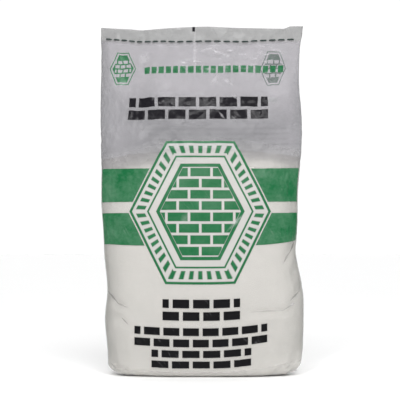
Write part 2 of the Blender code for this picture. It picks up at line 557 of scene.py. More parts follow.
@dataclass(frozen=True)
class Brickwork:
    """Courses of bricks that fill a rectangle, each course half a brick past the one below.

    bricks is the number of them in a course.
    """

    area: Band
    courses: int
    bricks: int
    joint: float

    def mask(self, at: Place, soft: float) -> Signal:
        """Share of ink on the bricks.

        Args:
            at: The place.
            soft: Width of their edges.

        Returns:
            1 on a brick and 0 on a joint.
        """
        rise = (self.area.high - self.area.low + self.joint) / self.courses
        pitch = (self.area.right - self.area.left + self.joint) / self.bricks
        up = (at.z - self.area.low + self.joint / 2) / rise
        along = (at.x - self.area.left + self.joint / 2) / pitch + up.whole() * 0.5
        across = self.joint / 2 - (0.5 - abs(along.part() - 0.5)) * pitch
        upward = self.joint / 2 - (0.5 - abs(up.part() - 0.5)) * rise
        return (0.5 - across.most(upward) / soft).held() * self.area.mask(at, soft)


@dataclass(frozen=True)
class Hexagon:
    """Hexagon with points to the left and right, in millimetres."""

    x: float
    z: float
    half_width: float
    half_height: float
    half_top: float

    def outside(self, at: Place) -> Signal:
        """Distance outwards from the hexagon's outline, below zero inside it.

        Args:
            at: The place.

        Returns:
            The distance.
        """
        run = self.half_width - self.half_top
        size = math.hypot(self.half_height, run)
        nx, nz = self.half_height / size, run / size
        dx, dz = abs(at.x - self.x), abs(at.z - self.z)
        return (dz - self.half_height).most(dx * nx + dz * nz - self.half_width * nx)


@dataclass(frozen=True)
class Mark:
    """Spindle-shaped mark along a sharp fold of the film, in millimetres, used for pale whitening,
    painted shade and painted highlights.

    heading is its slope in radians, and strength its share at the middle.
    """

    x: float
    z: float
    half_length: float
    half_width: float
    heading: float
    strength: float

    def mask(self, at: Place) -> Signal:
        """Share of the mark.

        Args:
            at: The place.

        Returns:
            The strength at the mark's middle, fading to 0 at its ends and sides.
        """
        cos, sin = math.cos(self.heading), math.sin(self.heading)
        dx, dz = at.x - self.x, at.z - self.z
        along = abs(dx * cos + dz * sin) / self.half_length
        across = abs(dz * cos - dx * sin) / self.half_width
        return (1 - along - across).held() * self.strength


@dataclass(frozen=True)
class PouchPrint:
    """The print on the film: twin bands, a badge of brickwork, and courses of bricks."""

    soft: float = 0.5
    bands: tuple[Band, ...] = (
        Band(-130.0, 130.0, 176.6, 211.2),
        Band(-130.0, 130.0, 131.9, 165.3),
    )
    badge: Hexagon = Hexagon(-1.0, 166.8, 71.9, 73.8, 35.0)
    badge_rims: tuple[tuple[float, float], ...] = ((-2.6, 0.0), (-18.0, -16.2), (-28.0, -24.5))
    block_ring: tuple[float, float] = (-13.6, -5.2)
    badge_blocks: int = 46
    badge_bricks: Brickwork = Brickwork(Band(-45.0, 43.0, 122.2, 211.7), 8, 4, 2.6)
    title: Brickwork = Brickwork(Band(-76.0, 68.3, 264.1, 288.1), 2, 7, 3.2)
    courses: tuple[Brickwork, ...] = (
        Brickwork(Band(-38.8, 38.8, 56.7, 78.1), 2, 4, 3.6),
        Brickwork(Band(-67.3, 66.3, 30.3, 49.6), 2, 7, 3.4),
        Brickwork(Band(-50.0, 50.0, 8.8, 27.1), 2, 5, 3.4),
    )
    small_row: Brickwork = Brickwork(Band(-60.2, 84.7, 312.8, 320.2), 1, 19, 2.0)
    small_badge: Hexagon = Hexagon(-84.2, 319.8, 14.4, 17.3, 6.8)
    small_bricks: Brickwork = Brickwork(Band(-93.0, -75.4, 311.0, 328.6), 4, 3, 1.5)
    small_rim: tuple[float, float] = (-1.1, 0.0)
    small_inset: float = 2.6
    mark: Band = Band(-9.5, -6.6, 355.4, 361.0)
    back_badge: Hexagon = Hexagon(74.0, 317.1, 13.8, 17.3, 6.5)
    back_bricks: Brickwork = Brickwork(Band(65.2, 82.8, 308.3, 325.9), 4, 3, 1.5)
    margin: float = 2.4
    back_smear: Band = Band(55.0, 78.5, 281.5, 286.5)
    back_rules: Band = Band(-57.0, 91.0, 229.0, 258.0)
    rule_pitch: float = 5.6

    def badge_ground(self, film: FilmPoint) -> Signal:
        """Share of pale ground under the badge."""
        return (0.5 - self.badge.outside(film.flat) / self.soft).held()

    def twin_bands(self, film: FilmPoint) -> Signal:
        """Share of ink of the two bands, which stop short of the film's side edges."""
        bands = sum(band.mask(film.flat, self.soft) for band in self.bands)
        return bands * ((film.edge - self.margin) / self.soft).held()

    def green(self, film: FilmPoint) -> Signal:
        """Share of green ink on the front.

        Args:
            film: The point of the film.

        Returns:
            The share.
        """
        at = film.flat
        out = self.badge.outside(at)
        ink = self.twin_bands(film) * ((out - 1.0) / self.soft).held()
        turn = film.graph.math("ARCTAN2", at.z - self.badge.z, at.x - self.badge.x)
        turn = turn * (self.badge_blocks / (2 * math.pi))
        blocks = ((0.31 - abs(turn.part() - 0.5)) * 8.0).held()
        for rim in self.badge_rims:
            ink = ink.most(self._rim(out, *rim))
        ink = ink.most(self._rim(out, *self.block_ring) * blocks)
        within = ((self.badge_rims[-1][0] - out) / self.soft).held()
        ink = ink.most(self.badge_bricks.mask(at, self.soft) * within)
        ink = ink.most(self.small_row.mask(at, self.soft))
        return ink.most(self.small_sign(self.small_badge, self.small_bricks, at))

    def _rim(self, out: Signal, low: float, high: float) -> Signal:
        """Share of a line between two distances from an outline."""
        return (0.5 - (abs(out - (low + high) / 2) - (high - low) / 2) / self.soft).held()

    def small_sign(self, hexagon: Hexagon, bricks: Brickwork, at: Place) -> Signal:
        """Share of ink of a small badge with bare bricks in it.

        Args:
            hexagon: Its outline.
            bricks: The bricks left bare in it.
            at: The place.

        Returns:
            The share.
        """
        out = hexagon.outside(at)
        field_ink = (0.5 - (out + self.small_inset) / self.soft).held()
        field_ink = field_ink * (1 - bricks.mask(at, self.soft))
        return self._rim(out, *self.small_rim).most(field_ink)

    def black(self, at: Place) -> Signal:
        """Share of black ink on the front.

        Args:
            at: The place.

        Returns:
            The share.
        """
        ink = self.mark.mask(at, self.soft)
        for course in (self.title, *self.courses):
            ink = ink.most(course.mask(at, self.soft))
        return ink

    def back_green(self, film: FilmPoint) -> Signal:
        """Share of green ink on the back."""
        sign = self.small_sign(self.back_badge, self.back_bricks, film.flat)
        return self.twin_bands(film).most(sign).most(self.back_smear.mask(film.flat, 3.0) * 0.6)

    def back_grey(self, at: Place) -> Signal:
        """Share of grey ink on the back, in ruled lines."""
        ruled = ((0.26 - abs((at.z / self.rule_pitch).part() - 0.5)) * 8.0).held()
        return ruled * self.back_rules.mask(at, 1.5) * 0.8


@dataclass(frozen=True)
class ClearFilm:
    """Finish of the printed film: grey and see-through when empty, white where powder backs it.

    clear and hazy are the empty film, apart_shade is painted shade where its two layers stand away
    from each other, and strip is the part above the stitches. backed and thin have powder behind
    them; settled is painted shade that darkens the powdered film towards the bottom, side_shade
    painted shade towards the side edges, and foot_light painted light that brightens the foot.
    scuffed_and_glint is pale crease whitening with painted glints. A cover is the share of the
    light from behind that the film stops.
    """

    art: PouchPrint = field(default_factory=PouchPrint)
    clear: Colour = (0.212, 0.204, 0.226, 1.0)
    hazy: Colour = (0.315, 0.292, 0.326, 1.0)
    # Painted shade of the empty film where its two layers stand away from each other.
    apart_shade: Colour = (0.155, 0.153, 0.166, 1.0)
    strip: Colour = (0.355, 0.355, 0.355, 1.0)
    backed: Colour = (0.600, 0.586, 0.563, 1.0)
    # Painted shade: the powdered film darker towards the bottom.
    settled: Colour = (0.530, 0.520, 0.500, 1.0)
    thin: Colour = (0.400, 0.395, 0.385, 1.0)
    # Painted shade towards the side edges, where the powdered film turns away from the light.
    side_shade: Colour = (0.300, 0.303, 0.290, 1.0)
    # Painted light that brightens the foot against its shade.
    foot_light: Colour = (0.720, 0.710, 0.680, 1.0)
    ground: Colour = (0.600, 0.600, 0.580, 1.0)
    # Pale crease whitening, and painted glints of the creases.
    scuffed_and_glint: Colour = (0.80, 0.78, 0.81, 1.0)
    green_deep: Colour = (0.008, 0.120, 0.040, 1.0)
    green_pale: Colour = (0.070, 0.190, 0.105, 1.0)
    black: Colour = (0.002, 0.002, 0.003, 1.0)
    black_thin: Colour = (0.011, 0.010, 0.013, 1.0)
    grey: Colour = (0.055, 0.055, 0.060, 1.0)
    empty_cover: float = 0.50
    apart_cover: float = 0.64
    backed_cover: float = 0.34
    strip_cover: float = 0.86
    # Pale crease whitening with painted glints, at the creases of the empty film.
    whitening_and_glint_marks: tuple[Mark, ...] = (
        Mark(-61.0, 330.0, 11.0, 8.5, 1.2, 0.60),
        Mark(-6.5, 336.0, 30.0, 2.6, 1.57, 0.60),
        Mark(18.0, 334.0, 15.0, 2.4, -0.35, 0.60),
        Mark(8.0, 337.5, 12.0, 2.0, 0.20, 0.55),
        Mark(14.0, 306.0, 12.0, 3.6, 1.00, 0.50),
        Mark(27.0, 304.0, 13.0, 2.6, -0.60, 0.50),
        Mark(34.5, 288.0, 5.5, 2.0, -0.80, 0.90),
        Mark(21.0, 268.0, 6.0, 1.9, -0.90, 0.90),
        Mark(80.0, 334.0, 11.0, 3.0, -0.50, 0.50),
        Mark(35.0, 156.0, 18.0, 3.2, 0.78, 0.60),
        Mark(-16.0, 160.0, 10.0, 5.5, 0.90, 0.40),
    )
    # Area of painted glints on the small tucks below the stitches.
    tuck_glint_area: Band = Band(-22.0, 74.0, 318.0, 340.0)
    # Sharp folds: a bump, and painted shade along each in fold_shade.
    folds: tuple[Mark, ...] = (
        Mark(-89.6, 80.0, 11.0, 1.5, -0.80, 1.0),
        Mark(-80.6, 72.3, 10.0, 1.8, -0.38, 0.5),
        Mark(-77.0, 56.4, 8.0, 1.2, -0.80, 0.6),
        Mark(92.6, 131.0, 12.0, 1.5, 1.15, 1.0),
        Mark(86.4, 120.2, 9.0, 1.6, 1.05, 0.9),
        Mark(95.0, 81.4, 10.0, 1.5, 0.75, 1.0),
        Mark(89.0, 70.6, 11.0, 1.2, 0.50, 0.5),
        Mark(66.0, 66.2, 26.0, 1.2, 0.04, 0.4),
        Mark(-88.0, 8.4, 8.0, 1.3, -0.86, 0.5),
        Mark(89.0, 8.8, 10.0, 1.3, 0.50, 0.6),
    )
    fold_shade: Colour = (0.200, 0.195, 0.180, 1.0)
    # Painted highlights on the raised lips beside the folds.
    lip_highlights: tuple[Mark, ...] = (
        Mark(91.5, 72.6, 4.5, 2.4, 0.60, 1.0),
        Mark(-89.6, 82.6, 3.0, 1.8, -0.80, 0.8),
        Mark(-85.0, 72.4, 8.0, 2.2, -0.60, 0.4),
        Mark(87.5, 125.0, 9.0, 1.6, 1.05, 0.4),
    )
    line_lag: float = 3.0
    line_sag: float = 0.0007
    line_tilt: float = 0.04
    line_unevenness: float = 10.0
    powder_blur: float = 13.0
    thin_reach: float = 14.0
    settled_shade_reach: float = 80.0
    foot_reach: float = 24.0
    side_reach: float = 40.0
    layers_reach: float = 55.0
    facet_scale: float = 0.075
    creasing: float = 0.8
    crinkle_depth: float = 0.0014
    crinkle_strength: float = 0.50

    def material(self) -> bpy.types.Material:
        """Build the finish.

        Returns:
            The material.
        """
        g = Graph(bpy.data.materials.new("clear_printed_film"))
        film = FilmPoint.read(g)
        front = film.front
        cloud = g.noise(film.spot, 0.045, 4.0, 0.6)
        fine = g.noise(film.spot, 0.35, 3.0, 0.6)
        sunk = self._sunk(film, cloud)
        backed = (0.5 - sunk / self.powder_blur).held()
        thin = (1 + sunk / self.thin_reach).held()
        layers = self._layers(film)
        strip = ((film.seam + 4.0) / 4.0).held()
        # Painted shade along the folds, and painted highlights on their lips.
        fold = sum(mark.mask(film.seen) for mark in self.folds) * front
        lip = sum(mark.mask(film.seen) for mark in self.lip_highlights) * front
        scuff_and_glint = self._scuffs_and_glints(film, backed).most(lip)
        ground = self.art.badge_ground(film) * front
        green = self.art.green(film) * front + self.art.back_green(film) * (1 - front)
        black = self.art.black(film.flat) * front
        grey = self.art.back_grey(film.flat) * (1 - front)
        # Powder dust on the film just above the powder line, with painted light that lifts the shade
        # at the powder's rim.
        dust_and_painted_light = (1.3 - abs(sunk - 5.0) / 11.0).held() * (1 - backed)
        bare = g.mix((cloud * 1.1 + fine * 0.7 - 0.4).held(), self.clear, self.hazy)
        # Painted shade near the powder line and the side edges, where the two layers stand away from
        # each other.
        bare = g.mix(layers, self.apart_shade, bare)
        bare = g.mix(dust_and_painted_light * 0.25, bare, self.thin)
        bare = g.mix(backed, bare, self._powdery(film, backed, thin))
        bare = g.mix(strip, bare, self.strip)
        bare = g.mix(ground * 0.75, bare, self.ground)
        faded = (cloud * 2.4 + fine - 1.25).held() * (1 - ground * 0.7)
        ink = g.mix(faded, self.green_deep, self.green_pale)
        colour = g.mix(grey, bare, self.grey)
        colour = g.mix(green, colour, ink)
        colour = g.mix(black, colour, g.mix(backed, self.black_thin, self.black))
        # Pale crease whitening and painted glints.
        colour = g.mix(scuff_and_glint * 0.7, colour, self.scuffed_and_glint)
        # Painted shade along the folds.
        colour = g.mix(fold.held() * 0.75, colour, self.fold_shade)
        empty = self.apart_cover + layers * (self.empty_cover - self.apart_cover)
        cover = empty + backed * (self.backed_cover - empty + thin * 0.3)
        cover = cover + strip * (self.strip_cover - self.empty_cover) + fold * 0.4
        cover = cover.most(ground * 0.62).most(grey * 0.8).most(scuff_and_glint * 0.8)
        cover = cover.most(green * 0.98).most(black).held()
        return g.finish(
            Base_Color=colour, Roughness=0.20 + fine * 0.18 + backed * 0.05 + scuff_and_glint * 0.2,
            Alpha=cover, Normal=self._crinkles(film, backed, fold), IOR=1.24,
        )

    def _sunk(self, film: FilmPoint, cloud: Signal) -> Signal:
        """Millimetres above the powder's uneven line, which the film meets lower at its sides.

        Args:
            film: The point of the film.
            cloud: Slow noise.

        Returns:
            The distance, below zero under the line.
        """
        x = film.flat.x
        lag = self.line_lag + x * x * self.line_sag - x * self.line_tilt
        return film.above + lag + (cloud - 0.5) * self.line_unevenness

    def _layers(self, film: FilmPoint) -> Signal:
        """Share by which the two layers of the empty film lie together; where they stand away from
        each other the film takes painted shade.

        Args:
            film: The point of the film.

        Returns:
            The share.
        """
        x, edge = film.flat.x, film.edge
        near = (film.above - 12.0 + x.least(0.0) * 0.2) / self.layers_reach
        near = near.most((1 - edge / 75.0) * 0.6)
        return (near * ((edge + 2.0 + x.most(0.0) * 0.06) / 20.0).held()).held()

    def _powdery(self, film: FilmPoint, backed: Signal, thin: Signal) -> bpy.types.NodeSocket:
        """Colour of the film where powder backs it, with painted shade towards the bottom and the side
        edges and painted light at the foot.

        Args:
            film: The point of the film.
            backed: Share of powder behind the film.
            thin: Share by which that powder thins out near its line.

        Returns:
            The colour's socket.
        """
        g = film.graph
        # Painted shade that darkens the powdered film towards the bottom.
        settled = (1.35 - film.flat.z / self.settled_shade_reach).held()
        low = (1 - film.flat.z / self.foot_reach).held()
        # Painted shade towards the side edges of the powdered film, weaker at the foot.
        side_shade_share = (1 - film.edge / self.side_reach).held()
        side_shade_share = (side_shade_share * side_shade_share * backed * (1.9 - low * 1.4)).held()
        powdery = g.mix(side_shade_share, g.mix(settled, self.backed, self.settled), self.side_shade)
        # Painted light at the foot.
        return g.mix(low * low, g.mix(thin, powdery, self.thin), self.foot_light)

    def _scuffs_and_glints(self, film: FilmPoint, backed: Signal) -> Signal:
        """Share of pale crease whitening and painted glints, in broken lines and patches.

        Args:
            film: The point of the film.
            backed: Share of powder behind the film.

        Returns:
            The share.
        """
        g, (x, z) = film.graph, film.flat
        slanting = g.vector((x + z * 0.7) * 0.9, (z - x * 0.7) * 0.16, 0.0)
        streak = (g.noise(slanting, 0.30, 3.0, 0.6) * 7.0 - 4.0).held()
        patch = (g.noise(film.spot, 0.021, 3.0, 0.6) * 6.0 - 3.2).held()
        whitening_and_glint_strength = (g.noise(film.spot, 0.16, 4.0, 0.65) * 5.0 - 2.5).held()
        total = streak * patch * 0.3
        # Pale whitening and painted glints at the listed crease marks and on the tucks.
        placed = sum(mark.mask(film.flat) for mark in self.whitening_and_glint_marks)
        tuck_glints = (g.noise(g.vector(x * 0.22, z * 0.62, 0.0), 0.42, 2.0, 0.5) * 8.0 - 4.6).held()
        placed = placed + tuck_glints * self.tuck_glint_area.mask(film.flat, 12.0) * 0.8
        total = total + placed * film.front * (0.6 + whitening_and_glint_strength)
        return total.held() * (1 - backed * 0.35)

    def _crinkles(self, film: FilmPoint, backed: Signal, fold: Signal) -> bpy.types.NodeSocket:
        """Normal of the film's small flat facets, soft waves and sharp folds.

        Args:
            film: The point of the film.
            backed: Share of powder behind the film.
            fold: Share of the sharp folds.

        Returns:
            The bump's socket.
        """
        g, (x, z), place = film.graph, film.flat, film.spot
        warp = g.noise(place, 0.06, 2.0, 0.5) * 14.0
        across, up = x + warp, z - warp
        facets = g.node(
            "ShaderNodeTexVoronoi", {"feature": "F1"},
            {"Vector": g.vector(across, up, 0.0), "Scale": self.facet_scale},
        )
        middle = g.split(facets.outputs["Position"])
        lean = g.split(facets.outputs["Color"])
        tilt = (across - middle[0]) * (lean[0] - 0.5) + (up - middle[1]) * (lean[1] - 0.5)
        creased = (g.noise(place, 0.018, 2.0, 0.5) * 5.0 - 2.2).held() * (1 - backed)
        waves = g.noise(g.vector(x * 0.35, z, 0.0), 0.22, 4.0, 0.55)
        height = Signal(g, facets.outputs["Distance"]) * 0.9 + waves * 0.5
        height = (height + g.noise(place, 0.09, 3.0, 0.5) - 1.1) * (1 - backed * 0.35)
        height = height + tilt * creased * self.creasing - fold * 0.8
        return g.bump(height, self.crinkle_depth, self.crinkle_strength)


@dataclass(frozen=True)
class WhitePowder:
    """Finish of fine white cement powder."""

    light: Colour = (0.64, 0.62, 0.59, 1.0)
    dark: Colour = (0.565, 0.55, 0.52, 1.0)

    def material(self) -> bpy.types.Material:
        """Build the finish.

        Returns:
            The material.
        """
        g = Graph(bpy.data.materials.new("white_cement_powder"))
        place = g.node("ShaderNodeTexCoord").outputs["Object"]
        lumps = g.noise(place, 70.0, 5.0, 0.65)
        grain = g.noise(place, 1400.0, 2.0, 0.6)
        colour = g.mix((lumps * 1.8 - 0.4).held(), self.dark, self.light)
        return g.finish(
            Base_Color=colour, Roughness=0.9 + grain * 0.1,
            Normal=g.bump(lumps + grain * 0.25, 0.0008), Specular_IOR_Level=0.2,
        )


@dataclass(frozen=True)
class SewingThread:
    """Finish of the dark closing thread."""

    light: Colour = (0.035, 0.062, 0.055, 1.0)
    dark: Colour = (0.004, 0.012, 0.011, 1.0)

    def material(self) -> bpy.types.Material:
        """Build the finish.

        Returns:
            The material.
        """
        g = Graph(bpy.data.materials.new("dark_closing_thread"))
        along, round_, _ = g.split(g.attribute("ply").outputs["Vector"])
        fibres = g.noise(g.vector(along * 30.0, round_ * 9.0, 0.0), 1.0, 3.0, 0.6)
        worn = g.noise(g.vector(along * 0.12, 0.0, 0.0), 1.0, 1.0, 0.5)
        colour = g.mix((fibres * 0.8 + worn * 0.9 - 0.45).held(), self.dark, self.light)
        return g.finish(
            Base_Color=colour, Roughness=0.6 + fibres * 0.3, Normal=g.bump(fibres, 0.0001)
        )


@dataclass(frozen=True)
class StudioFloor:
    """Finish of the pale floor."""

    light: Colour = (0.96, 0.96, 0.96, 1.0)
    dark: Colour = (0.94, 0.94, 0.94, 1.0)

    def material(self) -> bpy.types.Material:
        """Build the finish.

        Returns:
            The material.
        """
        g = Graph(bpy.data.materials.new("pale_floor"))
        cloud = g.noise(g.node("ShaderNodeTexCoord").outputs["Object"], 3.0, 2.0)
        return g.finish(
            Base_Color=g.mix(cloud, self.dark, self.light), Roughness=0.7 + cloud * 0.1
        )


def new_mesh(
    name: str, points: Array, faces: list[tuple[int, ...]], material: bpy.types.Material
) -> bpy.types.Object:
    """Smooth-shaded mesh object in the scene.

    Args:
        name: The piece's name.
        points: Its vertices.
        faces: Its faces, as numbers of vertices.
        material: Its finish.

    Returns:
        The object.
    """
    mesh = bpy.data.meshes.new(name)
    mesh.from_pydata(points.reshape(-1, 3).tolist(), [], faces)
    mesh.shade_smooth()
    mesh.materials.append(material)
    made = bpy.data.objects.new(name, mesh)
    bpy.context.scene.collection.objects.link(made)
    return made


def set_vectors(target: bpy.types.Object, name: str, values: Array) -> None:
    """Store a vector for each vertex of a mesh.

    Args:
        target: The mesh's object.
        name: The attribute's name.
        values: One vector to a vertex.
    """
    made = target.data.attributes.new(name, "FLOAT_VECTOR", "POINT")
    made.data.foreach_set("vector", values.reshape(-1, 3).astype(np.float32).ravel())


def grid_normals(loops: Array) -> Array:
    """Outward normals of a closed band of loops.

    Args:
        loops: Points shaped (rows, around, 3), each row closed on itself.

    Returns:
        Unit normals in the same shape.
    """
    around = np.roll(loops, -1, axis=1) - np.roll(loops, 1, axis=1)
    up = np.gradient(loops, axis=0)
    normals = np.cross(around, up)
    return normals / np.maximum(np.linalg.norm(normals, axis=-1, keepdims=True), 1e-12)


@dataclass(frozen=True)
class SlackFilm:
    """Cloth simulation of the film: held at base, seam and mouth, it grows and crumples."""

    growth: float = 0.020
    empty_share: float = 0.6
    hold: float = 0.08
    empty_hold: float = 0.10
    pressure: float = -100.0
    frames: int = 16
    cap: float = 0.0014
    evening: int = 30
    skin: float = 0.0007
    mass: float = 0.02
    stiffness: float = 12.0
    bending: float = 0.05
    friction: float = 8.0
    quality: int = 6
    sideways_share: float = 0.4

    def settle(
        self, loops: Array, faces: list[tuple[int, ...]], held: Array, loose: Array,
        pressed: Array, body: Array,
    ) -> Array:
        """Crumple the film round a body.

        Args:
            loops: The film's points.
            faces: The film's faces.
            held: How firmly each point is held, 0 to 1.
            loose: Share of the growth at each point, 0 to 1.
            pressed: Share of the pressure at each point, 0 to 1.
            body: Points of the body inside, with the same faces.

        Returns:
            How far each point has moved, capped.
        """
        scene = bpy.context.scene
        plain = bpy.data.materials.new("simulation_only")
        inside = new_mesh("powder_body", body, faces, plain)
        inside.modifiers.new("Collision", "COLLISION")
        inside.collision.thickness_outer = self.skin / 2
        inside.collision.cloth_friction = self.friction
        sheet = new_mesh("slack_film", loops, faces, plain)
        for name, weights in (("held", held), ("loose", loose), ("pressed", pressed)):
            group = sheet.vertex_groups.new(name=name)
            for number, weight in enumerate(weights.ravel()):
                group.add([number], float(weight), "REPLACE")
        cloth = sheet.modifiers.new("Cloth", "CLOTH")
        cloth.point_cache.frame_end = self.frames
        settings = cloth.settings
        settings.quality = self.quality
        settings.mass = self.mass
        settings.tension_stiffness = settings.compression_stiffness = self.stiffness
        settings.shear_stiffness = self.stiffness / 2
        settings.bending_stiffness = self.bending
        settings.shrink_min = 0.0
        settings.shrink_max = -self.growth
        settings.vertex_group_shrink = "loose"
        settings.vertex_group_mass = "held"
        settings.effector_weights.gravity = 0.0
        settings.use_pressure = True
        settings.uniform_pressure_force = self.pressure
        settings.vertex_group_pressure = "pressed"
        cloth.collision_settings.distance_min = self.skin / 2
        for frame_number in range(1, self.frames + 1):
            scene.frame_set(frame_number)
        settled = sheet.evaluated_get(bpy.context.evaluated_depsgraph_get())
        places = np.empty(loops.size, dtype=np.float32)
        settled.data.vertices.foreach_get("co", places)
        moved = places.reshape(loops.shape) - loops
        scene.frame_set(1)
        for made in (sheet, inside):
            mesh = made.data
            bpy.data.objects.remove(made)
            bpy.data.meshes.remove(mesh)
        bpy.data.materials.remove(plain)
        moved = self.without_drift(moved)
        length = np.linalg.norm(moved, axis=-1, keepdims=True)
        log.info("film moved %.2f mm, at most %.2f mm", MM * length.mean(), MM * length.max())
        return moved * self.cap * np.tanh(length / self.cap) / np.maximum(length, 1e-9)

    def without_drift(self, moved: Array) -> Array:
        """Displacements less their own average around each point.

        Args:
            moved: Displacements shaped (rows, around, 3).

        Returns:
            Displacements in the same shape.
        """
        drift = moved
        for _ in range(self.evening):
            drift = (np.roll(drift, 1, 1) + 2 * drift + np.roll(drift, -1, 1)) / 4
            ended = np.concatenate([drift[:1], drift, drift[-1:]])
            drift = (ended[:-2] + 2 * drift + ended[2:]) / 4
        return moved - drift


def wall_faces(rows: int, around: int) -> list[tuple[int, ...]]:
    """Faces between neighbouring closed loops of points.

    Args:
        rows: Number of loops.
        around: Points in a loop.

    Returns:
        Faces that look outwards, where the loops run anticlockwise as seen from the last one.
    """
    return [
        (r * around + j, r * around + (j + 1) % around,
         (r + 1) * around + (j + 1) % around, (r + 1) * around + j)
        for r in range(rows - 1)
        for j in range(around)
    ]


def refined(values: Array, axis: int, closed: bool = False) -> Array:
    """Values with a smooth new one between each two neighbours along an axis.

    Args:
        values: Values on a grid.
        axis: The grid's axis.
        closed: Whether the last neighbours the first.

    Returns:
        Values on the finer grid.
    """
    v = np.moveaxis(values, axis, 0)
    if closed:
        before, after, far = np.roll(v, 1, 0), np.roll(v, -1, 0), np.roll(v, -2, 0)
        middle = (9 * (v + after) - before - far) / 16
        full = np.stack([v, middle], axis=1).reshape(-1, *v.shape[1:])
    else:
        padded = np.concatenate([2 * v[:1] - v[1:2], v, 2 * v[-1:] - v[-2:-1]])
        middle = (9 * (padded[1:-2] + padded[2:-1]) - padded[:-3] - padded[3:]) / 16
        full = np.empty((2 * len(v) - 1, *v.shape[1:]))
        full[::2], full[1::2] = v, middle
    return np.moveaxis(full, 0, axis)


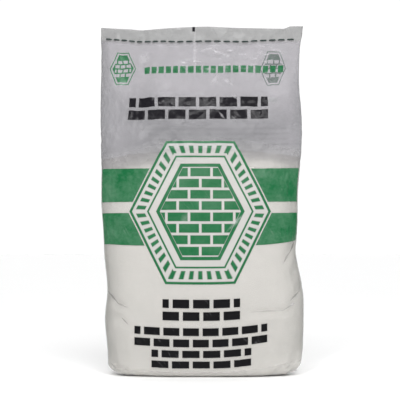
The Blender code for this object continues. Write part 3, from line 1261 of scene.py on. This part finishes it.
@dataclass
class FilmPouch:
    """The printed film, as one closed-bottomed shell open at the mouth."""

    form: PouchForm
    finish: ClearFilm = field(default_factory=ClearFilm)
    slack: SlackFilm = field(default_factory=SlackFilm)
    half_columns: int = 68
    coarse_rows: int = 96
    rounding_rows: int = 5
    layer_gap: float = 0.0004
    print_level: float = 0.060
    belly_waves: float = 0.00045
    empty_waves: float = 0.00060
    seam_crimps: float = 0.00028
    foot_waves: float = 0.0005
    seal_height: float = 0.0040
    seal_point: float = 0.0025
    rise_right: Line = Line((0.0, 0.013), (0.05, 0.011), (0.10, 0.006), (0.14, 0.0), (0.2, 0.0))
    rise_left: Line = Line((0.0, 0.004), (0.05, 0.005), (0.10, 0.003), (0.14, 0.0), (0.2, 0.0))
    curl: Line = Line((0.08, 0.0), (0.135, 0.0065), (0.160, 0.001), (0.21, 0.0015))
    creases: tuple[Crease, ...] = (
        Crease(((-0.0950, 0.0835), (-0.0857, 0.0735), (-0.0740, 0.0680)), 0.0036, 0.0018),
        Crease(((-0.0850, 0.0600), (-0.0780, 0.0545), (-0.0730, 0.0490)), 0.0036, 0.0013),
        Crease(((0.0960, 0.1390), (0.0895, 0.1250), (0.0835, 0.1140)), 0.0036, 0.0020),
        Crease(((0.0990, 0.1180), (0.0950, 0.1070), (0.0930, 0.0960)), 0.0036, 0.0012),
        Crease(((0.1020, 0.0900), (0.0960, 0.0810), (0.0890, 0.0750)), 0.0036, 0.0022),
        Crease(
            ((0.0980, 0.0735), (0.0850, 0.0655), (0.0650, 0.0640), (0.0450, 0.0645)), 0.0040, 0.0018
        ),
        Crease(((0.0700, 0.1150), (0.0800, 0.0950), (0.0860, 0.0780)), 0.0140, 0.0022, 0.0),
        Crease(((-0.0930, 0.0130), (-0.0796, 0.0085), (-0.0700, 0.0030)), 0.0022, 0.0018),
        Crease(((0.0960, 0.0130), (0.0830, 0.0070), (0.0700, 0.0030)), 0.0022, 0.0018),
    )

    def rows(self, fineness: int) -> Array:
        """Nominal heights of the film's rows.

        Args:
            fineness: 1 for the coarse grid and 2 for the fine one.

        Returns:
            Heights from the base to the mouth.
        """
        turn = np.linspace(0, math.pi / 2, self.rounding_rows * fineness + 1)
        rounding = (1 - np.cos(turn)) * self.form.round_height
        above = np.linspace(
            self.form.round_height, self.form.mouth_height, self.coarse_rows * fineness + 1
        )
        return np.append(rounding, above[1:])

    def loops(self, fineness: int) -> Array:
        """Smooth loops round the film: in front from left to right, then back behind.

        Args:
            fineness: 1 for the coarse grid and 2 for the fine one.

        Returns:
            Points shaped (rows, around, 3).
        """
        even = np.linspace(-1, 1, self.half_columns * fineness + 1)
        u = (0.45 * even + 0.55 * np.sin(even * math.pi / 2))[None, :]
        nominal = self.rows(fineness)[:, None]
        front = self.form.surface(nominal, u, Side.FRONT)
        back = self.form.surface(nominal, u, Side.BACK)
        for end in (0, -1):
            front[:, end, 0] += math.copysign(self.form.half_flat, even[end])
            front[:, end, 1] = (front[:, end, 1] + back[:, end, 1]) / 2
        return np.concatenate([front, back[:, -2:0:-1]], axis=1)

    @staticmethod
    def facing(loops: Array) -> Array:
        """Side of each point of the film.

        Args:
            loops: The points.

        Returns:
            -1 in front, 1 behind and 0 at the edges, shaped (rows, around).
        """
        half = loops.shape[1] // 2
        sides = np.concatenate([np.full(half + 1, -1.0), np.full(half - 1, 1.0)])
        sides[[0, half]] = 0.0
        return np.broadcast_to(sides, loops.shape[:2])

    def crumpled(self) -> Array:
        """Displacements of the fine grid's points, from a simulation on the coarse one.

        Returns:
            Displacements shaped (rows, around, 3).
        """
        loops = self.loops(1)
        z = loops[..., 2]
        seam = z - self.form.stitch_line(loops[..., 0])
        empty = smooth_step(0.225, 0.250, z)
        held = self.slack.hold + (self.slack.empty_hold - self.slack.hold) * empty
        held = np.maximum(held, 1 - smooth_step(0.001, 0.006, z))
        held = np.maximum(held, np.exp(-((seam / 0.004) ** 2)))
        held = np.maximum(held, smooth_step(0.347, 0.352, z))
        loose = 1 - (1 - self.slack.empty_share) * empty
        body = loops - grid_normals(loops) * self.slack.skin
        shut = smooth_step(0.226, 0.236, z)
        body[..., 1] += (self.form.lean(body[..., 0], z) - body[..., 1]) * shut
        moved = self.slack.settle(loops, self.faces(*z.shape), held, loose, 1 - empty, body)
        moved[..., ::2] *= self.slack.sideways_share
        return refined(refined(moved, 0), 1, closed=True)

    def wrinkles(self, loops: Array) -> Array:
        """Distance that each point of the film stands out from the smooth form.

        Args:
            loops: The smooth points.

        Returns:
            Distances in metres.
        """
        x, z = loops[..., 0], loops[..., 2]
        facing = self.facing(loops)
        shifted = x + facing * 0.37
        fill = 1 - smooth_step(0.205, 0.245, z)
        seam = z - self.form.stitch_line(x)
        soft = Ripple(11, 0.035, 0.080)(shifted, z) * self.belly_waves
        flat = facing * Ripple(13, 0.022, 0.060, 0.0, 1.2)(x, z) * self.empty_waves
        near_seam = np.exp(-(((seam + 0.016) / 0.010) ** 2))
        crimps = np.abs(Ripple(14, 0.006, 0.013, math.pi / 2, 0.9)(shifted, z))
        out = fill * soft + (1 - fill) * flat
        out = out - near_seam * crimps * self.seam_crimps
        low = np.exp(-((z - 0.006) / 0.008) ** 2)
        out = out - low * np.abs(Ripple(15, 0.010, 0.030, 0.0, 0.8)(shifted, z)) * self.foot_waves
        held = np.exp(-((seam / 0.004) ** 2)) + smooth_step(0.352, 0.357, z) * 0.5
        inward = smooth_step(0.0, 10.0, self.edge(loops))
        out = out * (1 - np.clip(held, 0, 1)) * (0.35 + 0.65 * inward)
        for crease in self.creases:
            out = out + np.where(facing < 0, crease(x, z), 0.0)
        return out * smooth_step(-0.001, 0.003, z)

    def seal_end(self, loops: Array) -> Array:
        """Distance that the bent-over end of the bottom seal sticks out at the right.

        Args:
            loops: The smooth points.

        Returns:
            Distances in metres.
        """
        rise = (loops[..., 2] - self.seal_height) / 0.0013
        near = np.exp(-(rise ** 2) - (self.edge(loops) / 3.0) ** 2)
        return np.where(loops[..., 0] > 0, near * self.seal_point, 0.0)

    def across(self, loops: Array) -> tuple[Array, Array]:
        """Places of the points along the flat film.

        Args:
            loops: The smooth points.

        Returns:
            Millimetres from the pouch's middle line, and from the nearer side edge.
        """
        half = loops.shape[1] // 2
        column = np.arange(loops.shape[1])
        arcs, edges = np.zeros(loops.shape[:2]), np.zeros(loops.shape[:2])
        for chosen in (column[: half + 1], np.append(column[half:], 0)[::-1]):
            face = loops[:, chosen]
            steps = np.linalg.norm(np.diff(face[..., :2], axis=1), axis=-1)
            arc = np.concatenate([np.zeros((len(face), 1)), np.cumsum(steps, axis=1)], axis=1)
            middle = np.array([np.interp(0.0, line[:, 0], run) for line, run in zip(face, arc)])
            arcs[:, chosen] = arc - middle[:, None]
            edges[:, chosen] = np.minimum(arc, arc[:, -1:] - arc)
        return arcs * MM, edges * MM

    def edge(self, loops: Array) -> Array:
        """Millimetres from the nearer side edge."""
        return self.across(loops)[1]

    def print_places(self, loops: Array) -> Array:
        """Where each point lies on the flat film.

        Args:
            loops: The smooth points.

        Returns:
            Millimetres across and up, and 1 in front to -1 behind.
        """
        centre = loops[:, loops.shape[1] // 4]
        rise = np.concatenate([[0], np.cumsum(np.linalg.norm(np.diff(centre, axis=0), axis=1))])
        up = (rise - np.interp(self.print_level, centre[:, 2], rise) + self.print_level)[:, None]
        up = up + loops[..., 2] - centre[:, None, 2] - self.lift(loops[..., 0], loops[..., 2])
        return np.stack([self.across(loops)[0], up * MM, -self.facing(loops)], axis=-1)

    def lift(self, x: Array, z: Array) -> Array:
        """Distance that level lines of the print rise towards the pouch's sides.

        Args:
            x: Places across.
            z: Places up.

        Returns:
            Distances in metres.
        """
        curled = self.curl(z) * np.where(x > 0, 1.0, 0.3) * (x / 0.1) ** 4
        rise = np.where(x > 0, self.rise_right(z), self.rise_left(z))
        return rise * (x / 0.1) ** 2 + curled

    def faces(self, rows: int, around: int) -> list[tuple[int, ...]]:
        """Faces of the walls and of the flat base.

        Args:
            rows: Number of loops.
            around: Points in a loop.

        Returns:
            Faces that look outwards.
        """
        half = around // 2
        base = [(j + 1, j, around - j, around - j - 1) for j in range(1, half - 1)]
        ends = [(1, 0, around - 1), (half, half - 1, half + 1)]
        return wall_faces(rows, around) + base + ends

    def _keep_layers_apart(self) -> None:
        """Push the front and the back of the film away from each other where they would cross."""
        half = self.shaped.shape[1] // 2
        front, back = self.shaped[:, 1:half], self.shaped[:, :half:-1]
        short = np.maximum(self.layer_gap - (back[..., 1] - front[..., 1]), 0.0) / 2
        front[..., 1] -= short
        back[..., 1] += short

    def build(self) -> bpy.types.Object:
        """Build and dress the film.

        Returns:
            The film.
        """
        loops = self.loops(2)
        self.shaped = loops + grid_normals(loops) * self.wrinkles(loops)[..., None]
        self.shaped = self.shaped + self.crumpled()
        self._keep_layers_apart()
        self.shaped[..., 0] += self.seal_end(loops)
        self.shaped[0, :, 2] = 0.0
        self.shaped[..., 2] = np.maximum(self.shaped[..., 2], 0.0)
        film = new_mesh(
            "film_pouch_printed", self.shaped, self.faces(*loops.shape[:2]),
            self.finish.material(),
        )
        set_vectors(film, "print", self.print_places(loops))
        above = loops[..., 2] - self.form.powder_line(loops[..., 0])
        seam = loops[..., 2] - self.form.stitch_line(loops[..., 0])
        set_vectors(film, "zone", np.stack([above * MM, seam * MM, self.edge(loops)], axis=-1))
        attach(film, BODY)
        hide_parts("film_pouch")
        return film


@dataclass
class PowderFill:
    """The powder in the pouch, close inside the film, with a low uneven mound for its top."""

    film: FilmPouch
    finish: WhitePowder = field(default_factory=WhitePowder)
    gap: float = 0.0006
    mound: float = 0.004
    lumps: float = 0.0009
    top_steps: int = 14

    def build(self) -> bpy.types.Object:
        """Build and dress the powder.

        Returns:
            The powder.
        """
        shaped = self.film.shaped
        inner = shaped - grid_normals(shaped) * self.gap
        below = np.flatnonzero(self.film.rows(2) <= self.film.form.powder_height)
        loops = inner[np.unique(np.append(below[::2], below[-1]))][:, ::2]
        loops[..., 2] = np.maximum(loops[..., 2], self.gap)
        rows, around = loops.shape[:2]
        points, top = self._top(loops[-1], (rows - 1) * around)
        faces = self.film.faces(rows, around) + top
        everything = np.concatenate([loops.reshape(-1, 3), points])
        powder = new_mesh("cement_powder_fill", everything, faces, self.finish.material())
        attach(powder, BODY)
        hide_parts("cement_powder")
        return powder

    def _top(self, rim: Array, start: int) -> tuple[Array, list[tuple[int, ...]]]:
        """Uneven top inside the highest loop.

        Args:
            rim: The highest loop.
            start: Number of its first point.

        Returns:
            The top's own points, and its faces.
        """
        around = len(rim)
        half = around // 2
        near, far = rim[1:half], rim[:half:-1]
        ripple = Ripple(21, 0.008, 0.030)
        lines, numbers = [], [start + np.arange(1, half)]
        for step in range(1, self.top_steps):
            share = step / self.top_steps
            line = near + (far - near) * share
            bulge = 4 * share * (1 - share) * np.clip(1 - (line[:, 0] / 0.1) ** 2, 0, 1)
            line[:, 2] += (self.mound + ripple(line[:, 0], line[:, 1]) * self.lumps) * bulge
            lines.append(line)
            numbers.append(start + around + (step - 1) * (half - 1) + np.arange(half - 1))
        numbers.append(start + np.arange(around - 1, half, -1))
        faces: list[tuple[int, ...]] = []
        for lower, upper in zip(numbers, numbers[1:]):
            faces.append((start, int(lower[0]), int(upper[0])))
            faces.append((int(lower[-1]), start + half, int(upper[-1])))
            faces += [
                (int(lower[j]), int(lower[j + 1]), int(upper[j + 1]), int(upper[j]))
                for j in range(half - 2)
            ]
        return np.concatenate(lines), faces


@dataclass
class ClosingThread:
    """The twisted thread that runs in and out along the stitch line."""

    form: PouchForm
    finish: SewingThread = field(default_factory=SewingThread)
    stitches: int = 22
    dash_half_share: float = 0.32
    thin: float = 0.00055
    thick: float = 0.00078
    clearance: float = 0.0001
    tail: float = 0.003
    twist: float = 0.0026
    plies: int = 3
    sides: int = 15
    step: float = 0.0004
    turns: tuple[tuple[float, float], ...] = ((0.00025, 0.78), (0.0009, 1.0))

    def holes(self) -> list[float]:
        """Places of the needle holes, two to a dash.

        Returns:
            The places across, from left to right.
        """
        return [
            float(self.form.dash_places(number + way * self.dash_half_share))
            for number in range(self.stitches)
            for way in (-1, 1)
        ]

    def route(self) -> Array:
        """Points along the thread's middle, a step apart.

        Returns:
            Points shaped (count, 3).
        """
        lying = self.form.half_flat + self.clearance + self.thick
        turns = [(along, share * lying) for along, share in self.turns]
        places = self.holes()
        at = self.form.seam_point
        points = [at(places[0] - self.tail, lying), at(places[0] - turns[1][0], lying)]
        points.append(at(places[0] - turns[0][0], turns[0][1]))
        for number, x in enumerate(places):
            side = -1 if number % 2 == 0 else 1
            points += [at(x, -side * self.form.half_flat), at(x, side * self.form.half_flat)]
            points += [at(x + along, side * out) for along, out in turns]
            if number == len(places) - 1:
                points.append(at(x + self.tail, side * lying))
            else:
                nxt = places[number + 1]
                points += [at(nxt - along, side * out) for along, out in turns[::-1]]
        path = np.array([tuple(point) for point in points])
        run = np.concatenate([[0], np.cumsum(np.linalg.norm(np.diff(path, axis=0), axis=1))])
        even = np.arange(0, run[-1], self.step)
        line = np.stack([np.interp(even, run, path[:, axis]) for axis in range(3)], axis=1)
        for _ in range(2):
            line[1:-1] = 0.25 * line[:-2] + 0.5 * line[1:-1] + 0.25 * line[2:]
        return line

    def build(self) -> bpy.types.Object:
        """Build and dress the thread.

        Returns:
            The thread.
        """
        line = self.route()
        middle = np.array([self.form.lean(x, z) for x, z in line[:, ::2]])
        out = np.abs(line[:, 1] - middle)
        slack = smooth_step(0.6 * out.max(), out.max(), out)
        ways = np.gradient(line, axis=0)
        ways /= np.linalg.norm(ways, axis=1, keepdims=True)
        side = np.cross(ways[0], (0, 0, 1.0))
        rings, places = [], []
        angles = np.linspace(0, 2 * math.pi, self.sides, endpoint=False)
        for number, (point, way) in enumerate(zip(line, ways)):
            side = side - way * (side @ way)
            side /= np.linalg.norm(side)
            up = np.cross(way, side)
            along = number * self.step
            turn = 2 * math.pi * along / self.twist
            lobes = 0.85 + 0.15 * np.abs(np.cos(self.plies * (angles - turn) / 2))
            radius = (self.thin + (self.thick - self.thin) * slack[number]) * lobes
            rings.append(
                point + radius[:, None] * (
                    np.cos(angles)[:, None] * side + np.sin(angles)[:, None] * up
                )
            )
            places.append(
                np.stack([np.full(self.sides, along * MM), angles - turn, 0 * angles], axis=1)
            )
        walls = wall_faces(len(rings), self.sides)
        first, last = range(self.sides), range((len(rings) - 1) * self.sides, len(rings) * self.sides)
        faces = [(start, *rest[::-1]) for start, *rest in walls]
        faces += [tuple(first), tuple(reversed(last))]
        thread = new_mesh("closing_thread_twisted", np.array(rings), faces, self.finish.material())
        set_vectors(thread, "ply", np.array(places))
        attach(thread, BODY)
        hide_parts("closing_thread")
        return thread


@dataclass
class Studio:
    """Pale floor, surroundings that are white behind the pouch, soft lights, and the camera."""

    floor_finish: StudioFloor = field(default_factory=StudioFloor)
    floor_size: float = 40.0
    distance: float = 1.15
    eye_height: float = 0.130
    aim: tuple[float, float, float] = (-0.0013, 0.0, 0.1785)
    view_width: float = 0.4092
    sensor: float = 36.0
    sun_from: tuple[float, float, float] = (0.15, -1.12, 0.93)
    sun_strength: float = 2.22
    sun_spread: float = 40.0
    fill_strength: float = 0.80
    before: float = 0.27
    behind: float = 1.05
    turns_white: tuple[float, float] = (0.45, 0.9)
    glint_from: tuple[float, float, float] = (-0.20, -1.0, 1.00)
    glint_size: float = 0.06
    glint_watts: float = 3.4
    floor_drop: float = 0.0002

    def build(self) -> None:
        """Set up the floor, surroundings, lights and camera."""
        self._floor()
        self._surroundings()
        self._suns()
        self._glint()
        self._camera()

    def _floor(self) -> None:
        """Lay the floor."""
        half = self.floor_size / 2
        points = np.array([(-half, -half, 0), (half, -half, 0), (half, half, 0), (-half, half, 0)])
        floor = new_mesh("studio_floor", points, [(0, 1, 2, 3)], self.floor_finish.material())
        floor.location.z = -self.floor_drop

    def _surroundings(self) -> None:
        """Light the scene from all round, white behind the pouch and dimmer before it."""
        world = bpy.data.worlds.new("white_surroundings")
        g = Graph(world)
        _, depth, _ = g.split(g.node("ShaderNodeTexCoord").outputs["Generated"])
        low, high = self.turns_white
        level = g.node(
            "ShaderNodeMapRange", {"interpolation_type": "SMOOTHSTEP"},
            {0: depth, 1: low, 2: high, 3: self.before, 4: self.behind},
        )
        shader = g.node("ShaderNodeBackground", None, {"Strength": level.outputs[0]})
        shader.inputs["Color"].default_value = (1.0, 1.0, 1.0, 1.0)
        g.node("ShaderNodeOutputWorld", None, {0: shader.outputs[0]})
        bpy.context.scene.world = world
        bpy.context.scene.view_settings.view_transform = "Standard"

    def _lamp(self, name: str, kind: str, place: Vector, target: Vector) -> bpy.types.Light:
        """Add a lamp that points at a target.

        Args:
            name: The lamp's name.
            kind: Blender's name for the type of lamp.
            place: Where it stands.
            target: Where it points.

        Returns:
            The lamp's data.
        """
        data = bpy.data.lights.new(name, kind)
        lamp = bpy.data.objects.new(name, data)
        lamp.location = place
        lamp.rotation_euler = (target - place).to_track_quat("-Z", "Y").to_euler()
        bpy.context.scene.collection.objects.link(lamp)
        return data

    def _suns(self) -> None:
        """Add the even soft light on the pouch, and a fill from above that whitens the floor."""
        for name, place, strength in (
            ("soft_sun", Vector(self.sun_from), self.sun_strength),
            ("floor_fill", Vector((0.0, 0.0, 1.0)), self.fill_strength),
        ):
            sun = self._lamp(name, "SUN", place, Vector())
            sun.energy = strength
            sun.angle = math.radians(self.sun_spread)

    def _glint(self) -> None:
        """Add a small square light, which glints on the film's creases."""
        light = self._lamp("glint", "AREA", Vector(self.glint_from), Vector(self.aim))
        light.size, light.energy = self.glint_size, self.glint_watts

    def _camera(self) -> None:
        """Place the camera at the photograph's viewing angle."""
        data = bpy.data.cameras.new("camera")
        data.sensor_width = self.sensor
        data.lens = self.sensor * self.distance / self.view_width
        data.shift_y = (self.aim[2] - self.eye_height) / self.view_width
        camera = bpy.data.objects.new("camera", data)
        camera.location = (self.aim[0], -self.distance, self.eye_height)
        camera.rotation_euler = (math.pi / 2, 0.0, 0.0)
        bpy.context.scene.collection.objects.link(camera)
        bpy.context.scene.camera = camera


def main() -> None:
    """Build each piece of the pouch and the studio round it."""
    logging.basicConfig(level=logging.INFO, format="%(name)s: %(message)s")
    form = PouchForm()
    film = FilmPouch(form)
    pieces = [film.build(), PowderFill(film).build(), ClosingThread(form).build()]
    for piece in pieces:
        log.info("%s: %d faces", piece.name, len(piece.data.polygons))
    Studio().build()


if __name__ == "__main__":
    main()
